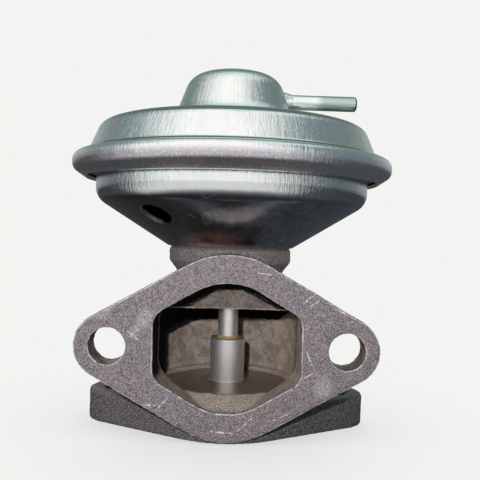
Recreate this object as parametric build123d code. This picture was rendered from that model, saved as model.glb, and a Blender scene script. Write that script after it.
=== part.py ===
"""Vacuum-operated exhaust-gas recirculation valve, in millimetres.

+Z is up, along the valve stem, and the outlet flange faces -Y.  The origin is on the stem axis in the
mounting face of the inlet flange.  Every piece is written at its rest place: the valve is shut.
"""
import os
from math import cos, hypot, pi, radians, sin, tan

from build123d import *

# ---------------------------------------------------------------- driving dimensions
# Both flanges carry two M8 bolts at the same spacing.
bolt_spacing = 58.0
bolt_hole_r = 4.5
nut_space_r = 7.6            # room kept round each bolt for its nut
nut_space_h = 11.6

# Inlet flange, underneath.
inlet_flange_t = 8.0
inlet_lug_r = 8.5
inlet_middle_r = 22.85
inlet_edge_round = 0.8
throat_r = 14.0

# Outlet flange, at the front, with its six-sided passage.
outlet_height = 23.2         # outlet centre above the inlet mounting face
outlet_reach = 24.0          # outlet mounting face in front of the stem axis
outlet_flange_t = 8.0
outlet_lug_r = 8.0
outlet_apex_r = 20.0
outlet_half_height = 22.7
outlet_edge_round = 1.4
outlet_front_chamfer = 0.35
passage_half_width = 18.0
passage_flat_distance = 15.7  # from the passage centre to each sloping side
passage_slope = 30.0          # degrees between a sloping side and the horizontal
passage_side_r = 4.3
passage_apex_r = 15.2
passage_wall = 3.4

# Chamber, neck and collar of the casting.
chamber_r = 19.5
chamber_wall = 3.0
chamber_top = 31.4
chamber_roof_t = 4.0
chamber_shoulder_r = 5.0
web_setback = 12.0           # from the outlet mounting face back to the web over the chamber
floor_height = 11.0
floor_rim_w = 0.9            # flat rim round the seat well
floor_ramp_angle = 35.0
neck_r = 14.3
neck_round = 3.0
collar_r = 16.6
collar_t = 3.4
collar_under_h = 3.0
collar_under_round = 1.5
collar_top = 46.9

# Valve seat and poppet.
seat_ring_r = 17.6
seat_ring_shelf = 2.5        # height of the shelf that the ring is pressed down to
seat_height = 7.8
seat_land_w = 1.6
seat_relief = 0.6
seat_lead_in = 0.6
disc_clearance = 0.4
disc_edge_t = 2.2
disc_crown = 0.8             # rise of the disc from its edge to the hub
disc_chamfer = 0.7
disc_dish_r = 8.5
disc_dish_d = 0.8
hub_r = 4.75
hub_top = 22.4
hub_edge = 0.3
hub_socket_floor = 1.6       # solid metal left between the disc's crown and the stem's end
braze_w = 0.65
braze_h = 0.55
braze_hollow = 0.1

# Stem, guide and seal.
stem_r = 2.75
stem_clearance = 0.04
stem_thread_r = 2.0
stem_thread_chamfer = 0.4
thread_clearance = 0.1
guide_r = 5.5
guide_foot = 2.0             # casting left under the guide bush
guide_foot_gap = 1.0         # between the stem and that casting
guide_chamfer = 0.5
seal_pocket_r = 8.5
seal_pocket_d = 3.6
seal_t = 3.0
seal_r = 7.3
seal_groove_w = 1.8
seal_groove_d = 1.0
retainer_t = 0.8
retainer_hole_r = 4.2
lift_max = 5.5

# Capsule: two sheet-steel shells joined by a rolled rim.  An inset is measured inwards from the rim.
sheet_t = 1.0
gasket_t = 0.4
gasket_inset = 0.3
shell_hole_clearance = 0.5
rim_r = 43.0
lower_base_r = 16.9
lower_cone_angle = 31.8
lower_wall_inset = 6.2
lower_corner_r = 5.1
base_bend_r = 2.0
crease_inset = 4.0           # where the upper shell's wall turns out into the rim
crease_height = 24.4         # heights on the capsule are above its base
crease_bend_r = 1.3
rim_upper_height = 23.6
rim_upper_bend_r = 2.2
rim_lower_height = 19.9
rim_lower_bend_r = 2.2
rim_lip_inset = 3.4          # end of the lip that is rolled in under the lower shell's edge
rim_lip_height = 17.6
flare_height = 18.9          # underside of the lower shell's flared edge
flare_bend_r = 1.2
flare_knee_bend_r = 1.2
flare_edge_w = 1.8           # part of the edge that lies along the rolled lip
shoulder_inset = 7.2
shoulder_height = 32.0
shoulder_bend_r = 3.4
crown_inset = 16.5
crown_height = 33.3
crown_bend_r = 40.0
tower_foot_r = 16.5
tower_foot_height = 34.8
tower_foot_bend_r = 5.0
tower_top_r = 11.9
tower_height = 47.2
tower_corner_r = 6.0

# Breather hole in the lower cone.
breather_r = 4.0
breather_inset = 13.5
breather_azimuth = 232.5     # degrees from +X, counter-clockwise seen from above

# Vacuum tube on the tower.
tube_r = 2.05
tube_bore_r = 1.25
tube_below_middle = 0.5      # from the middle of the tower's sloping side down to the tube's axis
tube_reach = 33.8
tube_stub = 1.2              # part of the tube that stands inside the tower
tube_step = 0.25             # the tube's root is this much thinner, in the wall and under the braze
tube_end_round = 0.75
tube_braze_w = 1.0
tube_braze_l = 3.4
tube_fit = 0.03

# Screws that hold the lower shell on the collar.
screw_count = 3
screw_circle_r = 11.4
screw_first_angle = 90.0
screw_r = 1.7
screw_hole_clearance = 0.2
screw_depth = 5.6
screw_end_gap = 0.5
screw_head_r = 3.3
screw_head_h = 2.4
screw_head_round = 1.1
screw_socket_r = 1.5
screw_socket_d = 1.2
washer_r = 3.6
washer_t = 0.8

# Diaphragm with its plates, and the spring.
rubber_t = 1.0
plate_t = 1.2
plate_margin = 4.5           # from the plate's edge out to the foot of the diaphragm's fold
plate_edge_drop = 2.4
plate_edge_r = 1.9
plate_height = 12.7          # underside of the lower plate above the capsule's base
cup_margin = 6.0
cup_t = 1.0
cup_lip_h = 3.2
fold_w = 5.9                 # from the fold's foot out to its top
fold_gap = 1.4               # between the fold and the lower shell's wall
fold_bend_r = 2.6
bead_margin = 1.1            # from the lower shell's wall out to the bead
cup_bend_r = 2.0
clamp_washer_r = 5.0
clamp_washer_t = 0.9
nut_flats = 7.0
nut_chamfer_angle = 30.0
nut_h = 3.2
stem_end = 1.2               # thread left above the nut
spring_wire_r = 0.9
spring_mean_r = 9.1
spring_turns = 4.5
spring_clearance = 0.25
spring_bead_r = 1.1
spring_seat_t = 2.2
spring_seat_bore = 5.2
spring_seat_skirt = 1.8
spring_seat_skirt_t = 0.8

# ---------------------------------------------------------------- worked-out places
web_y = -outlet_reach + web_setback
capsule_base = collar_top + gasket_t
lower_wall_r = rim_r - lower_wall_inset
fold_r = lower_wall_r - sheet_t - fold_gap
fold_foot_r = fold_r - fold_w
plate_r = fold_foot_r - plate_margin
cup_r = fold_foot_r - cup_margin
bead_inner_r = lower_wall_r + bead_margin
breather_at_r = rim_r - breather_inset
plate_z = capsule_base + plate_height
rubber_z = plate_z + plate_t
cup_z = rubber_z + rubber_t
clamp_washer_z = cup_z + cup_t
nut_z = clamp_washer_z + clamp_washer_t
stem_top = nut_z + nut_h + stem_end
disc_r = seat_ring_r - disc_clearance
disc_edge_z = seat_height + disc_edge_t
crown_z = disc_edge_z + disc_crown
tower_top = capsule_base + tower_height
spring_top = tower_top - sheet_t - spring_seat_t
rim_z = capsule_base + (rim_upper_height + flare_height) / 2
guide_bottom = chamber_top + guide_foot
seal_pocket_z = collar_top - seal_pocket_d
tube_height = (tower_foot_height + tower_height) / 2 - tube_below_middle
tube_z = capsule_base + tube_height
tower_taper = (tower_foot_r - tower_top_r) / (tower_height - tower_foot_height)
tower_r_at_tube = tower_top_r + (tower_height - tube_height) * tower_taper
tube_root = tower_r_at_tube - tube_r * tower_taper - sheet_t - tube_stub
tube_braze_end = tower_r_at_tube + tube_braze_l / 2
tube_root_r = tube_r - tube_step


# ---------------------------------------------------------------- helpers
def turned(profile):
    """Solid of revolution about the stem, from a profile drawn as (radius, height)."""
    return revolve(Plane.XZ * profile, Axis.Z)


def face(*points):
    """Flat face with straight sides through the points."""
    return make_face(Polyline(*points, close=True))


def box_profile(r_low, r_high, z_low, z_high):
    """Rectangle between two radii and two heights."""
    return face((r_low, z_low), (r_high, z_low), (r_high, z_high), (r_low, z_high))


def tube(r_in, r_out, z_low, z_high):
    """Plain ring about the stem."""
    return turned(box_profile(r_in, r_out, z_low, z_high))


def rod(radius, z_low, z_high):
    """Plain cylinder about the stem."""
    return Pos(0, 0, z_low) * extrude(Circle(radius), amount=z_high - z_low)


def corner_at(sketch, x, y):
    """The sketch's corner that is nearest to a point."""
    return sketch.vertices().sort_by_distance((x, y, 0))[0]


def rounded(sketch, *corners):
    """Sketch with the corners nearest to (x, y) rounded, each given as (x, y, radius)."""
    for x, y, radius in corners:
        sketch = fillet(corner_at(sketch, x, y), radius)
    return sketch


def around(shape, count, radius, first_angle):
    """Copies of a shape on a circle about the stem."""
    places = PolarLocations(radius, count, start_angle=first_angle)
    return Compound([place * shape for place in places])


def at_bolts(shape):
    """A shape at both bolt places of a flange drawn about its own centre."""
    return [Pos(side * bolt_spacing / 2, 0, 0) * shape for side in (-1, 1)]


def lozenge(lug_r, middle_r, half_height):
    """Two-bolt flange outline: round lugs joined by straight sides to a rounded middle."""
    circles = at_bolts(Circle(lug_r))
    rise = half_height - middle_r
    circles += [Pos(0, side * rise, 0) * Circle(middle_r) for side in (-1, 1)]
    return make_hull([circle.edge() for circle in circles])


def six_sided(grow=0.0):
    """Passage section: upright sides, and sloping sides that meet in wide rounded apexes."""
    half_width = passage_half_width + grow
    flat = passage_flat_distance + grow
    slope = radians(passage_slope)
    side_z = (flat - half_width * sin(slope)) / cos(slope)
    apex_z = flat / cos(slope)
    corners = [(0, apex_z), (half_width, side_z), (half_width, -side_z)]
    corners += [(-x, -z) for x, z in corners]
    outline = face(*corners)
    for x, z in corners:
        radius = passage_apex_r if x == 0 else passage_side_r
        outline = fillet(corner_at(outline, x, z), radius + grow)
    return outline


def outlet_plane(behind=0.0):
    """Plane through the outlet's centre line, a distance behind its mounting face."""
    return Plane(origin=(0, -outlet_reach + behind, outlet_height), x_dir=(1, 0, 0), z_dir=(0, 1, 0))


def from_outlet(sketch, start, depth):
    """Extrusion of an upright sketch towards +Y, from a distance behind the outlet face."""
    flipped = mirror(sketch, Plane.XZ)
    return extrude(outlet_plane(start) * flipped, amount=depth)


# ---------------------------------------------------------------- casting
def outlet_flange():
    """Front flange with cast edges behind and a fine chamfer round its machined face."""
    outline = lozenge(outlet_lug_r, outlet_apex_r, outlet_half_height)
    plate = from_outlet(outline, 0, outlet_flange_t)
    rear = plate.edges().group_by(Axis.Y)[-1]
    plate = fillet(rear, outlet_edge_round)
    front = plate.edges().group_by(Axis.Y)[0]
    return chamfer(front, outlet_front_chamfer)


def inlet_flange():
    """Bottom flange with its cast upper edge rounded."""
    outline = lozenge(inlet_lug_r, inlet_middle_r, inlet_middle_r)
    plate = extrude(outline, amount=inlet_flange_t)
    upper = plate.edges().group_by(Axis.Z)[-1]
    return fillet(upper, inlet_edge_round)


def casting_outside():
    """Chamber, neck and collar in one turned form."""
    outer_r = chamber_r + chamber_wall
    roof_z = chamber_top + chamber_roof_t
    under_z = collar_top - collar_t - collar_under_h
    profile = face(
        (0, 0),
        (outer_r, 0),
        (outer_r, roof_z),
        (neck_r, roof_z),
        (neck_r, under_z),
        (collar_r, under_z + collar_under_h),
        (collar_r, collar_top),
        (0, collar_top),
    )
    return turned(rounded(
        profile,
        (outer_r, roof_z, chamber_shoulder_r),
        (neck_r, roof_z, neck_round),
        (neck_r, under_z, collar_under_round),
    ))


def floor_ramp():
    """Raised floor round the seat well, falling away in a cone towards the outlet."""
    rim_edge = seat_ring_r + floor_rim_w
    foot_r = outlet_reach + passage_wall
    foot_z = floor_height - (foot_r - rim_edge) * tan(radians(floor_ramp_angle))
    return turned(face((0, foot_z), (foot_r, foot_z), (rim_edge, floor_height), (0, floor_height)))


def gas_way():
    """Space inside the casting: the six-sided passage, the chamber and the throat."""
    full = from_outlet(six_sided(), 0, web_setback)
    deep = from_outlet(six_sided(), 0, outlet_reach)
    low_part = Box(bolt_spacing, 2 * outlet_reach, chamber_top, align=(Align.CENTER, Align.CENTER, Align.MIN))
    chamber = rod(chamber_r, floor_height, chamber_top)
    space = full + (deep & low_part) + chamber
    space -= floor_ramp()
    well = rod(seat_ring_r, seat_ring_shelf, floor_height)
    throat = rod(throat_r, 0, seat_ring_shelf)
    return space + well + throat


def nut_room():
    """Scallops that keep the chamber's wall clear of the nuts on both flanges."""
    above_inlet = extrude(Pos(0, 0, inlet_flange_t) * Circle(nut_space_r), amount=nut_space_h)
    cuts = at_bolts(above_inlet)
    behind_outlet = from_outlet(Circle(nut_space_r), outlet_flange_t, outlet_reach - outlet_flange_t)
    return cuts + at_bolts(behind_outlet)


def valve_body():
    """The iron casting, machined on its faces, bores and seats."""
    walls = from_outlet(six_sided(passage_wall), outlet_flange_t / 2, outlet_reach - outlet_flange_t / 2)
    outside = casting_outside() + walls
    for cut in nut_room():
        outside -= cut
    body = outside + outlet_flange() + inlet_flange()
    body -= gas_way()
    hole = from_outlet(Circle(bolt_hole_r), 0, outlet_flange_t)
    for cut in at_bolts(hole):
        body -= cut
    for cut in at_bolts(extrude(Circle(bolt_hole_r), amount=inlet_flange_t)):
        body -= cut
    body -= rod(stem_r + guide_foot_gap, chamber_top, guide_bottom)
    body -= rod(guide_r, guide_bottom, seal_pocket_z)
    body -= rod(seal_pocket_r, seal_pocket_z, collar_top)
    drilled = Pos(0, 0, collar_top - screw_depth) * extrude(Circle(screw_r), amount=screw_depth)
    return body - around(drilled, screw_count, screw_circle_r, screw_first_angle)


# ---------------------------------------------------------------- seat, poppet and stem
def valve_seat_ring():
    """Pressed-in ring with a narrow raised land that the poppet shuts on."""
    land_r = throat_r + seat_lead_in + seat_land_w
    relief_z = seat_height - seat_relief
    return turned(face(
        (throat_r, seat_ring_shelf),
        (seat_ring_r, seat_ring_shelf),
        (seat_ring_r, relief_z),
        (land_r + seat_relief, relief_z),
        (land_r, seat_height),
        (throat_r + seat_lead_in, seat_height),
        (throat_r, seat_height - seat_lead_in),
    ))


def poppet():
    """Disc with a crowned back, a dished underside and a long hub bored for the stem."""
    dish_z = seat_height + disc_dish_d
    profile = face(
        (0, dish_z),
        (disc_dish_r, dish_z),
        (disc_dish_r + disc_dish_d, seat_height),
        (disc_r - disc_chamfer, seat_height),
        (disc_r, seat_height + disc_chamfer),
        (disc_r, disc_edge_z),
        (hub_r, crown_z),
        (hub_r, hub_top - hub_edge),
        (hub_r - hub_edge, hub_top),
        (0, hub_top),
    )
    socket = rod(stem_r, crown_z + hub_socket_floor, hub_top)
    return turned(profile) - socket


def valve_stem():
    """Ground rod, stepped down to a thread above the shoulder that carries the plates."""
    rod_part = rod(stem_r, crown_z + hub_socket_floor, plate_z)
    thread = rod(stem_thread_r, plate_z, stem_top)
    end = thread.edges().group_by(Axis.Z)[-1]
    return rod_part + chamfer(end, stem_thread_chamfer)


def braze_ring():
    """Hollow fillet of braze where the stem enters the hub."""
    foot = (stem_r + braze_w, hub_top)
    tip = (stem_r, hub_top + braze_h)
    slope = SagittaArc(foot, tip, braze_hollow)
    return turned(make_face(slope + Polyline(tip, (stem_r, hub_top), foot)))


def stem_guide_bush():
    """Bush pressed into the neck from above."""
    r_in = stem_r + stem_clearance
    bush = tube(r_in, guide_r, guide_bottom, seal_pocket_z)
    lower = bush.edges().filter_by(GeomType.CIRCLE).group_by(Axis.Z)[0].sort_by(SortBy.RADIUS)[-1]
    return chamfer(lower, guide_chamfer)


def stem_seal():
    """Packing ring on top of the guide, grooved in its upper face."""
    r_in = stem_r + stem_clearance
    z_high = seal_pocket_z + seal_t
    groove_in = (r_in + seal_r - seal_groove_w) / 2
    ring = tube(r_in, seal_r, seal_pocket_z, z_high)
    return ring - tube(groove_in, groove_in + seal_groove_w, z_high - seal_groove_d, z_high)


def seal_retainer():
    """Pressed cap round the seal, tight in the pocket."""
    z_high = seal_pocket_z + seal_t + retainer_t
    wall = face((seal_r, seal_pocket_z), (seal_pocket_r, seal_pocket_z), (seal_pocket_r, z_high),
                (retainer_hole_r, z_high), (retainer_hole_r, z_high - retainer_t),
                (seal_r, z_high - retainer_t))
    return turned(rounded(wall, (seal_pocket_r, z_high, retainer_t)))


# ---------------------------------------------------------------- sheet-metal profiles
def turn_at(before, corner, after):
    """Twice the signed area of three points: positive where the line turns left."""
    (x0, y0), (x1, y1), (x2, y2) = before, corner, after
    return (x1 - x0) * (y2 - y1) - (y1 - y0) * (x2 - x1)


def shifted(start, end, distance):
    """Both ends of a straight line after it moves to its own left."""
    run = hypot(end[0] - start[0], end[1] - start[1])
    dx = -(end[1] - start[1]) / run * distance
    dy = (end[0] - start[0]) / run * distance
    return (start[0] + dx, start[1] + dy), (end[0] + dx, end[1] + dy)


def meeting(first, second):
    """Crossing point of two straight lines, each given by two points."""
    (x1, y1), (x2, y2) = first
    (x3, y3), (x4, y4) = second
    cross = (x1 - x2) * (y3 - y4) - (y1 - y2) * (x3 - x4)
    first_term = x1 * y2 - y1 * x2
    second_term = x3 * y4 - y3 * x4
    x = (first_term * (x3 - x4) - (x1 - x2) * second_term) / cross
    y = (first_term * (y3 - y4) - (y1 - y2) * second_term) / cross
    return x, y


def beside(points, distance):
    """Corners of a line that runs along another, a distance to its left."""
    runs = [shifted(start, end, distance) for start, end in zip(points, points[1:])]
    inner = [meeting(first, second) for first, second in zip(runs, runs[1:])]
    return [runs[0][0]] + inner + [runs[-1][1]]


def bends_beside(points, bends, distance):
    """Bend radii of that second line, so that the sheet keeps its thickness round each bend."""
    turns = [turn_at(*points[i:i + 3]) for i in range(len(bends))]
    return [bend - distance if turn > 0 else bend + distance for turn, bend in zip(turns, bends)]


def sheet_profile(points, bends, thickness):
    """Section of bent sheet that lies to the left of a line of corners, with a radius at each bend.

    A negative thickness puts the sheet on the right of the line.
    """
    near = FilletPolyline(*points, radius=bends)
    far_points = beside(points, thickness)
    far = FilletPolyline(*far_points, radius=bends_beside(points, bends, thickness))
    ends = [Line(points[0], far_points[0]), Line(points[-1], far_points[-1])]
    return make_face(near.edges() + far.edges() + ends)


def filled(points, bends):
    """Everything between the axis and a bent line that starts on the axis, turned about the stem."""
    edge = FilletPolyline(*points, radius=bends)
    closing = Polyline(points[-1], (0, points[-1][1]), points[0])
    return turned(make_face(edge.edges() + closing.edges()))


# ---------------------------------------------------------------- capsule
def upper_corners():
    """Outside of the upper shell: tower, shoulder, wall, and the rim down to its rolled lip."""
    insets = (crown_inset, shoulder_inset, crease_inset, 0, 0, rim_lip_inset)
    radii = [0, tower_top_r, tower_foot_r] + [rim_r - inset for inset in insets]
    heights = (tower_height, tower_height, tower_foot_height, crown_height, shoulder_height,
               crease_height, rim_upper_height, rim_lower_height, rim_lip_height)
    points = [(radius, capsule_base + height) for radius, height in zip(radii, heights)]
    bends = [tower_corner_r, tower_foot_bend_r, crown_bend_r, shoulder_bend_r, crease_bend_r,
             rim_upper_bend_r, rim_lower_bend_r]
    return points, bends


def lower_corners():
    """Outside of the lower shell: base, cone, wall, and the flared edge held in the rolled lip."""
    wall_z = capsule_base + (lower_wall_r - lower_base_r) * tan(radians(lower_cone_angle))
    flare_z = capsule_base + flare_height
    points, _ = upper_corners()
    lip_inside = beside(points, -sheet_t)[-2:]
    knee = meeting(lip_inside, ((lower_wall_r, flare_z), (rim_r, flare_z)))
    run = hypot(lip_inside[0][0] - lip_inside[1][0], lip_inside[0][1] - lip_inside[1][1])
    along = [(a - b) / run * flare_edge_w for a, b in zip(*lip_inside)]
    end = (knee[0] + along[0], knee[1] + along[1])
    corners = [(0, capsule_base), (lower_base_r, capsule_base), (lower_wall_r, wall_z),
               (lower_wall_r, flare_z), knee, end]
    return corners, [base_bend_r, lower_corner_r, flare_bend_r, flare_knee_bend_r]


def breather_place():
    """Where the breather hole goes through the cone, and which way it points."""
    height = capsule_base + (breather_at_r - lower_base_r) * tan(radians(lower_cone_angle))
    outward = Pos(breather_at_r, 0, height) * Rot(0, 180 - lower_cone_angle, 0)
    return Rot(0, 0, breather_azimuth) * outward


def screw_holes(radius, z_low, z_high):
    """Round cutters at the places of the shell's screws."""
    return around(rod(radius, z_low, z_high), screw_count, screw_circle_r, screw_first_angle)


def lower_shell():
    """Conical lower half of the capsule, with holes for seal cap, screws and breather."""
    points, bends = lower_corners()
    shell = turned(sheet_profile(points, bends, sheet_t))
    top = capsule_base + sheet_t
    shell -= rod(seal_pocket_r + shell_hole_clearance, capsule_base, top)
    shell -= screw_holes(screw_r + screw_hole_clearance, capsule_base, top)
    return shell - breather_place() * Cylinder(breather_r, 2 * breather_r)


def tube_axis(start):
    """Place on the vacuum tube's axis, pointing outwards along it."""
    return Pos(start, 0, tube_z) * Rot(0, 90, 0)


def upper_shell():
    """Deep-drawn upper half with its tower, rolled round the lower shell at the rim."""
    points, bends = upper_corners()
    shell = turned(sheet_profile(points, bends, -sheet_t))
    pierced = tube_axis(tube_root) * extrude(Circle(tube_root_r + tube_fit), amount=tube_reach - tube_root)
    return shell - pierced


def vacuum_tube():
    """Steel tube with its outer end rolled round and a thinner root that enters the tower."""
    pipe = extrude(Circle(tube_r), amount=tube_reach - tube_braze_end)
    pipe = fillet(pipe.edges().group_by(Axis.Z)[-1], tube_end_round)
    root = extrude(Circle(tube_root_r), amount=tube_braze_end - tube_root)
    bore = extrude(Circle(tube_bore_r), amount=tube_reach - tube_root)
    return tube_axis(tube_braze_end) * pipe + tube_axis(tube_root) * root - tube_axis(tube_root) * bore


def tube_braze():
    """Collar of braze where the tube leaves the tower."""
    cone = Cone(tube_r + tube_braze_w, tube_r, tube_braze_l, align=(Align.CENTER, Align.CENTER, Align.MIN))
    collar = tube_axis(tube_braze_end - tube_braze_l) * cone
    points, bends = upper_corners()
    root = tube_axis(tube_root) * extrude(Circle(tube_root_r), amount=tube_reach - tube_root)
    return collar - filled(points[:5], bends[:3]) - root


def shell_gasket():
    """Thin gasket between the collar and the capsule."""
    ring = tube(seal_pocket_r + shell_hole_clearance, collar_r - gasket_inset, collar_top, capsule_base)
    return ring - screw_holes(screw_r + screw_hole_clearance, collar_top, capsule_base)


def screw_washers():
    """One flat washer under each screw's head."""
    low = capsule_base + sheet_t
    ring = tube(screw_r + screw_hole_clearance, washer_r, low, low + washer_t)
    return around(ring, screw_count, screw_circle_r, screw_first_angle)


def shell_screws():
    """Socket button-head screws that hold the lower shell on the collar."""
    seat = capsule_base + sheet_t + washer_t
    shank = rod(screw_r, collar_top - screw_depth + screw_end_gap, seat)
    head = rod(screw_head_r, seat, seat + screw_head_h)
    head = fillet(head.edges().group_by(Axis.Z)[-1], screw_head_round)
    socket = Pos(0, 0, seat + screw_head_h - screw_socket_d) * extrude(
        RegularPolygon(screw_socket_r, 6), amount=screw_socket_d)
    screw = shank + head - socket
    return around(screw, screw_count, screw_circle_r, screw_first_angle)


# ---------------------------------------------------------------- diaphragm, plates and spring
def bead_profile():
    """Rubber that fills the rolled rim above the lower shell's edge."""
    lower_points, lower_bends = lower_corners()
    upper_points, upper_bends = upper_corners()
    roof = beside(upper_points, -sheet_t)
    ledge = beside(lower_points, sheet_t)
    roof_line = (roof[5], roof[6])
    bead_in = (bead_inner_r, rim_z)
    top = meeting(roof_line, (bead_in, (bead_inner_r, rim_z + 1)))
    bottom = (bead_inner_r, ledge[3][1])
    corners = [bottom, ledge[4], ledge[5], lower_points[5], roof[7], roof[6], top]
    outline = face(*corners)
    roof_bends = bends_beside(upper_points, upper_bends, -sheet_t)
    return rounded(outline, (*roof[7], roof_bends[6]), (*roof[6], roof_bends[5]),
                   (*ledge[4], bends_beside(lower_points, lower_bends, sheet_t)[3]))


def diaphragm():
    """Fabric-backed rubber: clamped centre, rolling fold, and a bead held in the rim."""
    points = [(stem_thread_r + thread_clearance, rubber_z), (fold_foot_r, rubber_z),
              (fold_r, rim_z - rubber_t / 2), (bead_inner_r + rubber_t, rim_z - rubber_t / 2)]
    web = sheet_profile(points, [fold_bend_r, fold_bend_r], rubber_t)
    return turned(web + bead_profile())


def lower_diaphragm_plate():
    """Pressed plate under the diaphragm, with its edge turned down."""
    top = plate_z + plate_t
    points = [(stem_thread_r + thread_clearance, top), (plate_r, top), (plate_r, top - plate_edge_drop)]
    return turned(sheet_profile(points, [plate_edge_r], -plate_t))


def spring_cup():
    """Pressed plate over the diaphragm, with a raised lip and a bead that centres the spring."""
    points = [(stem_thread_r + thread_clearance, cup_z), (cup_r, cup_z), (cup_r, cup_z + cup_lip_h)]
    dish = sheet_profile(points, [cup_bend_r], cup_t)
    bead_r = spring_mean_r + spring_wire_r + spring_clearance + spring_bead_r
    bead = Pos(bead_r, cup_z + cup_t) * Circle(spring_bead_r)
    return turned(dish + (bead & box_profile(0, cup_r, cup_z + cup_t, nut_z + nut_h)))


def clamp_washer():
    """Washer under the stem's nut."""
    return tube(stem_thread_r + thread_clearance, clamp_washer_r, clamp_washer_z, nut_z)


def stem_nut():
    """Hexagon nut, rounded at its corners."""
    flat_r = nut_flats / 2
    corner_r = flat_r / cos(pi / 6)
    nut = Pos(0, 0, nut_z) * extrude(RegularPolygon(corner_r, 6), amount=nut_h)
    lift = (corner_r - flat_r) * tan(radians(nut_chamfer_angle))
    nut_top = nut_z + nut_h
    lathe = turned(face((0, nut_z), (flat_r, nut_z), (corner_r, nut_z + lift),
                        (corner_r, nut_top - lift), (flat_r, nut_top), (0, nut_top)))
    return (nut & lathe) - rod(stem_thread_r, nut_z, nut_top)


def return_spring():
    """Compression spring with its open ends ground flat, between the cup and the tower's seat."""
    low = cup_z + cup_t
    height = spring_top - low
    path = Pos(0, 0, low) * Helix(height / spring_turns, height, spring_mean_r)
    start = Plane(origin=path @ 0, z_dir=path % 0)
    coil = sweep(start * Circle(spring_wire_r), path=path, is_frenet=True)
    return coil & rod(spring_mean_r + 2 * spring_wire_r, low, spring_top)


def spring_seat():
    """Ring in the top of the tower that centres the spring."""
    points, bends = upper_corners()
    room = filled(beside(points, -sheet_t)[:4], bends_beside(points, bends, -sheet_t)[:2])
    skirt_r = spring_mean_r - spring_wire_r - spring_clearance
    ring = box_profile(spring_seat_bore, rim_r, spring_top, tower_top)
    skirt = box_profile(skirt_r - spring_seat_skirt_t, skirt_r, spring_top - spring_seat_skirt, tower_top)
    return turned(ring + skirt) & room


PIECES = {
    "valve_body": valve_body,
    "valve_seat_ring": valve_seat_ring,
    "poppet": poppet,
    "valve_stem": valve_stem,
    "braze_ring": braze_ring,
    "stem_guide_bush": stem_guide_bush,
    "stem_seal": stem_seal,
    "seal_retainer": seal_retainer,
    "shell_gasket": shell_gasket,
    "lower_shell": lower_shell,
    "screw_washers": screw_washers,
    "shell_screws": shell_screws,
    "diaphragm": diaphragm,
    "lower_diaphragm_plate": lower_diaphragm_plate,
    "spring_cup": spring_cup,
    "clamp_washer": clamp_washer,
    "stem_nut": stem_nut,
    "return_spring": return_spring,
    "spring_seat": spring_seat,
    "upper_shell": upper_shell,
    "vacuum_tube": vacuum_tube,
    "tube_braze": tube_braze,
}


def main():
    os.makedirs("parts", exist_ok=True)
    for name, build in PIECES.items():
        export_step(build(), f"parts/{name}.step")


if __name__ == "__main__":
    main()
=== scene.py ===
"""Vacuum-operated exhaust-gas recirculation valve on a pale studio floor.

Sizes are in millimetres unless a name says otherwise, and are turned into metres where a mesh, a lamp or
the camera is made.  Object coordinates in the materials are the frame's own, because every node's object
sits at the origin.
"""
import math

import bmesh
import bpy
from mathutils import Matrix, Vector, noise

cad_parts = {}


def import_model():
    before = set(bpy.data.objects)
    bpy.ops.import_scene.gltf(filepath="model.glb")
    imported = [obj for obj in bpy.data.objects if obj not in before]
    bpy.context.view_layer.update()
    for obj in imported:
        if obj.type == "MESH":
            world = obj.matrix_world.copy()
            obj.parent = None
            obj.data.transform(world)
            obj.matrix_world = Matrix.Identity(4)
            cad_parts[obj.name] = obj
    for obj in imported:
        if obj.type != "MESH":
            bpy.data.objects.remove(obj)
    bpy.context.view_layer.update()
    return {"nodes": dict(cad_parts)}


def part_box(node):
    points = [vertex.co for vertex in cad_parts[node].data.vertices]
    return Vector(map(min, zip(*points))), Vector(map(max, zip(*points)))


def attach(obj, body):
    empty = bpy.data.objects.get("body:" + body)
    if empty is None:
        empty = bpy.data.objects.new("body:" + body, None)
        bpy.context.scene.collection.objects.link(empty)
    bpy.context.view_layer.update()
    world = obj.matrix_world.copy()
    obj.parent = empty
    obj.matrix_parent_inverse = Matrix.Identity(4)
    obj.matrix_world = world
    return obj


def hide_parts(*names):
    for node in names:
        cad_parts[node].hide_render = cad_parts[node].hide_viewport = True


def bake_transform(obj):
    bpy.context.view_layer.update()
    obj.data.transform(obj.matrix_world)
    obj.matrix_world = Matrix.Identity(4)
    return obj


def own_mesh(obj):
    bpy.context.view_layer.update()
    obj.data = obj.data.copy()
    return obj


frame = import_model()
nodes = frame["nodes"]

MM = 0.001


# ---------------------------------------------------------------- sizes read from the frame, and a few given here
def low(node):
    """Lowest corner of a CAD node, in millimetres."""
    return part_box(node)[0] / MM


def high(node):
    """Highest corner of a CAD node, in millimetres."""
    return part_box(node)[1] / MM


rim_r = high("upper_shell").x
rim_lip_z = low("upper_shell").z
outlet_y = low("valve_body").y
collar_top = high("valve_body").z
crease_z = rim_lip_z + 6.8   # where the upper shell's wall turns out into the rim
tower_top_z = high("upper_shell").z
shoulder_top_z = 79.3        # top of the upper shell's shoulder, round the tower's foot
lower_wall_foot_z = 59.6     # where the lower shell's cone turns into its upright wall
web_z = 31.4                 # underside of the web over the chamber


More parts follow.
